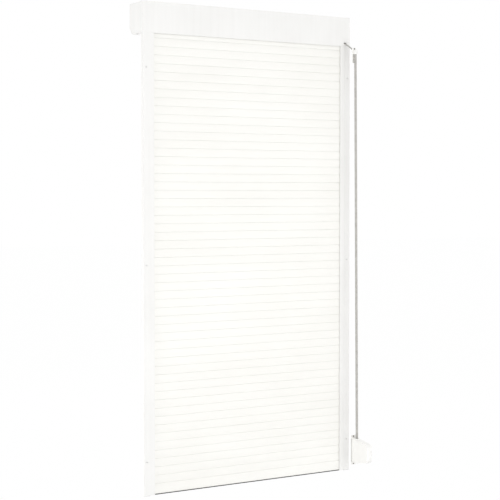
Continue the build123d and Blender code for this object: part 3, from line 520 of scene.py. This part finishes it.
def strap_path():
    """The strap's still run: from the pulley out of the box, over the roller and down to the winder."""
    outlet = (0, box_bottom + strap_outlet_rise)
    outlet_radius = 0.015
    outlet_steps = 8
    end = (strap_down_y, -0.8436)
    angle, reach = touch(outlet, shaft_place, pulley_wrap, 1)
    start = (outlet[0] + reach * math.cos(angle), outlet[1] + reach * math.sin(angle))
    out_angle, _ = touch(outlet, roller_place, roller_wrap, 1)
    up_angle, _ = touch(end, roller_place, roller_wrap, -1)
    gap = (end[0] - outlet[0], end[1] - outlet[1])
    share = gap[0] * math.sin(up_angle) - gap[1] * math.cos(up_angle)
    run = share / math.sin(up_angle - out_angle)
    corner = (outlet[0] + run * math.cos(out_angle), outlet[1] + run * math.sin(out_angle))
    path = [start]
    path += tangent_run(start, outlet, corner, outlet_radius, outlet_steps)
    path += tangent_run(outlet, corner, end, roller_wrap, bend_steps)
    path.append(end)
    return path


def add_strap_piece(name, path, body, node):
    bm = bmesh.new()
    ribbon(bm, path, strap_x - strap_width / 2, strap_x + strap_width / 2, strap_thickness)
    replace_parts(piece(name, bm, body, "grey_strap"), node)


def add_straps():
    tail = [(strap_down_y, -0.8438), (strap_down_y, -0.87), (strap_down_y, winder_z)]
    pulley_coil = spiral(shaft_place, inner=0.0281, outer=0.0375, end_angle=270)
    spool_coil = spiral((spool_y, winder_z), inner=0.0381, outer=0.0432, end_angle=0)
    add_strap_piece("strap_look", strap_path(), "root", "strap")
    add_strap_piece("pulley_coil_look", pulley_coil, "shaft", "pulley_strap_coil")
    add_strap_piece("spool_coil_look", spool_coil, "spool", "winder_coil")
    add_strap_piece("strap_tail_look", tail, "winder", "winder_strap_tail")


def add_hangers():
    """The spring strips, which go with the slats."""
    bend_radius = 0.022
    line = curtain_y + hanger_thickness
    start = (line, hanger_start)
    end = (hanger_end, hanger_over)
    path = [start]
    path += tangent_run(start, (line, hanger_over), end, bend_radius, bend_steps)
    path.append(end)
    bm = bmesh.new()
    for number in (-1, 0, 1):
        middle = number * hanger_spacing
        ribbon(bm, path, middle - hanger_half_width, middle + hanger_half_width, hanger_thickness)
    made = piece("hanger_springs_look", bm, "curtain", "galvanised_steel")
    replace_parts(made, "hanger_springs")
    flatten_with_lift(made)


def cross(bm, centre, normal, size):
    """A cross recess: two flat bars let into a screw's head, standing just proud of it, which carry the
    recess's painted shade.
    """
    slot_share = 0.22
    proud = 0.00004
    depth = 0.0006
    toward = Vector(normal)
    first = toward.orthogonal().normalized()
    second = toward.cross(first)
    for along, across in ((first, second), (second, first)):
        corners = []
        for a, b in ((-1, -1), (1, -1), (1, 1), (-1, 1)):
            corners.append(Vector(centre) + along * (size * a) + across * (size * slot_share * b))
        near = [bm.verts.new(corner + toward * proud) for corner in corners]
        far = [bm.verts.new(corner - toward * depth) for corner in corners]
        bm.faces.new(near)
        bm.faces.new(far)
        close_ring(bm, near, far)


def add_recesses():
    """The cross recesses of the box's, the winder's and the stops' screws, coloured dark as painted shade."""
    panel_cross = 0.0019
    winder_cross = 0.0016
    stop_cross = 0.002
    edge = half_width - box_screw_inset
    bm = bmesh.new()
    for x in (-edge, edge):
        for y in (box_size / 4, box_size * 3 / 4):
            cross(bm, (x, y, box_bottom + box_size + panel_screw_head), (0, 0, 1), panel_cross)
        cross(bm, (x, box_size + panel_screw_head, box_bottom + box_size * 2 / 3), (0, 1, 0), panel_cross)
        cross(bm, (x, box_size / 2, box_bottom - panel_screw_head), (0, 0, -1), panel_cross)
    box_crosses = piece("box_screw_recesses", bm, "root", "screw_steel")
    bm = bmesh.new()
    for y, z in winder_screws:
        cross(bm, (strap_x + winder_half_width + winder_screw_head, y, z), (1, 0, 0), winder_cross)
    winder_crosses = piece("winder_screw_recesses", bm, "winder", "screw_steel")
    bm = bmesh.new()
    for x in (-stop_screw_x, stop_screw_x):
        cross(bm, (x, stop_screw_y, stop_screw_z), (0, 1, 0), stop_cross)
    stop_crosses = piece("stop_screw_recesses", bm, "curtain", "screw_steel")
    # The recesses' dark colour is painted shade.
    for made in (box_crosses, winder_crosses, stop_crosses):
        made.data.materials[0] = recess_painted_shade


def pan_head(bm, centre, radius, height, shank_radius, shank):
    """A domed screw head that faces the room, with the short shank that fills its hole."""
    rim = 0.35
    profile = [(shank_radius, shank), (shank_radius, 0), (radius, 0), (radius, -rim * height)]
    for step in range(1, dome_steps):
        turn = math.radians(90 * step / dome_steps)
        profile.append((radius * math.cos(turn), -height * (rim + (1 - rim) * math.sin(turn))))
    rings = []
    for across, along in profile:
        ring = []
        for side in range(head_sides):
            turn = 2 * math.pi * side / head_sides
            x = centre[0] + across * math.cos(turn)
            ring.append(bm.verts.new((x, centre[1] + along, centre[2] + across * math.sin(turn))))
        rings.append(ring)
    for here, onward in zip(rings, rings[1:]):
        close_ring(bm, here, onward)
    bm.faces.new(rings[0])
    bm.faces.new(rings[-1])


def add_mount_screws():
    """The screws that hold the guide and the winder bracket, whose heads are coloured dark: painted shade of
    the shadowed screw holes.
    """
    head_radius = 0.0036
    head_height = 0.0024
    shank_radius = 0.0019
    cross_size = 0.0018
    seat_y = frame_face_y - mount_plate
    sets = (("guide", guide_screw_z, guide_screw_rises), ("bracket", winder_z, bracket_screw_rises))
    for name, middle, rises in sets:
        bm = bmesh.new()
        for rise in rises:
            place = (strap_x, seat_y, middle + rise)
            pan_head(bm, place, head_radius, head_height, shank_radius, mount_plate)
        # The heads' dark colour is painted shade.
        piece(f"{name}_mount_screws", bm, "root", "screw_steel").data.materials[0] = screw_painted_shade
        bm = bmesh.new()
        # Cross recesses in the mount screws, dark with painted shade.
        for rise in rises:
            cross(bm, (strap_x, seat_y - head_height, middle + rise), (0, -1, 0), cross_size)
        piece(f"{name}_mount_recesses", bm, "root", "screw_steel").data.materials[0] = recess_painted_shade


add_slats()
add_straps()
add_hangers()
add_recesses()
add_mount_screws()


# Stage, light and camera

floor_colour = (0.88, 0.88, 0.88, 1)
floor_level = -1.2
floor_size = 60
floor_white = 0.985
sky_strength = 0.86
camera_place = (-2.9315, -4.9854, 0.3085)
camera_look = (0.5057, 0.8622, -0.0297)
camera_lens = 91.03
camera_sensor = 36
camera_shift = -0.035
camera_reach = 200


def seen_white(tree, light_value):
    """How far a ray should see plain white: camera, mirror and glass rays do."""
    rays = tree.nodes.new("ShaderNodeLightPath")
    value = rays.outputs["Is Camera Ray"]
    for name in ("Is Glossy Ray", "Is Transmission Ray"):
        larger = tree.nodes.new("ShaderNodeMath")
        larger.operation = "MAXIMUM"
        tree.links.new(value, larger.inputs[0])
        tree.links.new(rays.outputs[name], larger.inputs[1])
        value = larger.outputs["Value"]
    scaled = tree.nodes.new("ShaderNodeMath")
    scaled.operation = "MULTIPLY"
    scaled.inputs[1].default_value = light_value
    tree.links.new(value, scaled.inputs[0])
    return scaled.outputs["Value"]


def mix_shaders(tree, share, first, second, target):
    """Two shaders mixed by a share, into a target."""
    mix = tree.nodes.new("ShaderNodeMixShader")
    tree.links.new(share, mix.inputs["Fac"])
    tree.links.new(first, mix.inputs[1])
    tree.links.new(second, mix.inputs[2])
    tree.links.new(mix.outputs["Shader"], target.inputs["Surface"])


def add_floor():
    material = bpy.data.materials.new("floor_pale")
    material.use_nodes = True
    tree = material.node_tree
    shader = tree.nodes["Principled BSDF"]
    shader.inputs["Base Color"].default_value = floor_colour
    shader.inputs["Roughness"].default_value = 0.9
    shader.inputs["Specular IOR Level"].default_value = 0.1
    white = tree.nodes.new("ShaderNodeEmission")
    share = seen_white(tree, floor_white)
    target = tree.nodes["Material Output"]
    mix_shaders(tree, share, shader.outputs["BSDF"], white.outputs["Emission"], target)
    bpy.ops.mesh.primitive_plane_add(size=floor_size, location=(0, 0, floor_level))
    floor = bpy.context.object
    floor.name = "floor"
    floor.data.materials.append(material)


def set_world():
    """A soft white sky, which a camera, mirror or glass ray sees as plain white."""
    world = bpy.data.worlds.new("studio")
    bpy.context.scene.world = world
    world.use_nodes = True
    tree = world.node_tree
    soft = tree.nodes["Background"]
    plain = tree.nodes.new("ShaderNodeBackground")
    for node, strength in ((soft, sky_strength), (plain, 1.0)):
        node.inputs["Color"].default_value = (1, 1, 1, 1)
        node.inputs["Strength"].default_value = strength
    share = seen_white(tree, 1.0)
    target = tree.nodes["World Output"]
    mix_shaders(tree, share, soft.outputs["Background"], plain.outputs["Background"], target)


def add_lamp(name, place, target, size, power):
    light = bpy.data.lights.new(name, "AREA")
    light.shape = "DISK"
    light.size = size
    light.energy = power
    lamp = bpy.data.objects.new(name, light)
    lamp.location = place
    lamp.rotation_mode = "QUATERNION"
    lamp.rotation_quaternion = (Vector(target) - Vector(place)).to_track_quat("-Z", "Y")
    bpy.context.scene.collection.objects.link(lamp)


def add_camera():
    camera = bpy.data.cameras.new("camera")
    camera.lens = camera_lens
    camera.sensor_width = camera_sensor
    camera.shift_y = camera_shift
    camera.clip_end = camera_reach
    holder = bpy.data.objects.new("camera", camera)
    holder.location = camera_place
    holder.rotation_mode = "QUATERNION"
    holder.rotation_quaternion = Vector(camera_look).to_track_quat("-Z", "Y")
    bpy.context.scene.collection.objects.link(holder)
    bpy.context.scene.camera = holder


add_floor()
set_world()
add_lamp("upper_key", place=(0.12, -2.5, 1.0), target=(0.12, 0, 0.8), size=1.6, power=10.4)
add_lamp("lower_key", place=(0.15, -2.7, -0.75), target=(0.15, 0, -0.6), size=1.6, power=11)
add_lamp("fill", place=(-4.2, 0.25, -0.2), target=(0.1, 0, -0.1), size=2.4, power=34)
add_lamp("back", place=(1.2, 4.0, 2.0), target=(0, 0, 0.2), size=2.6, power=46)
add_lamp("low", place=(-2.4, -0.4, -1.0), target=(0.5, -0.15, -0.95), size=0.8, power=4)
add_camera()
bpy.context.scene.view_settings.view_transform = "Standard"
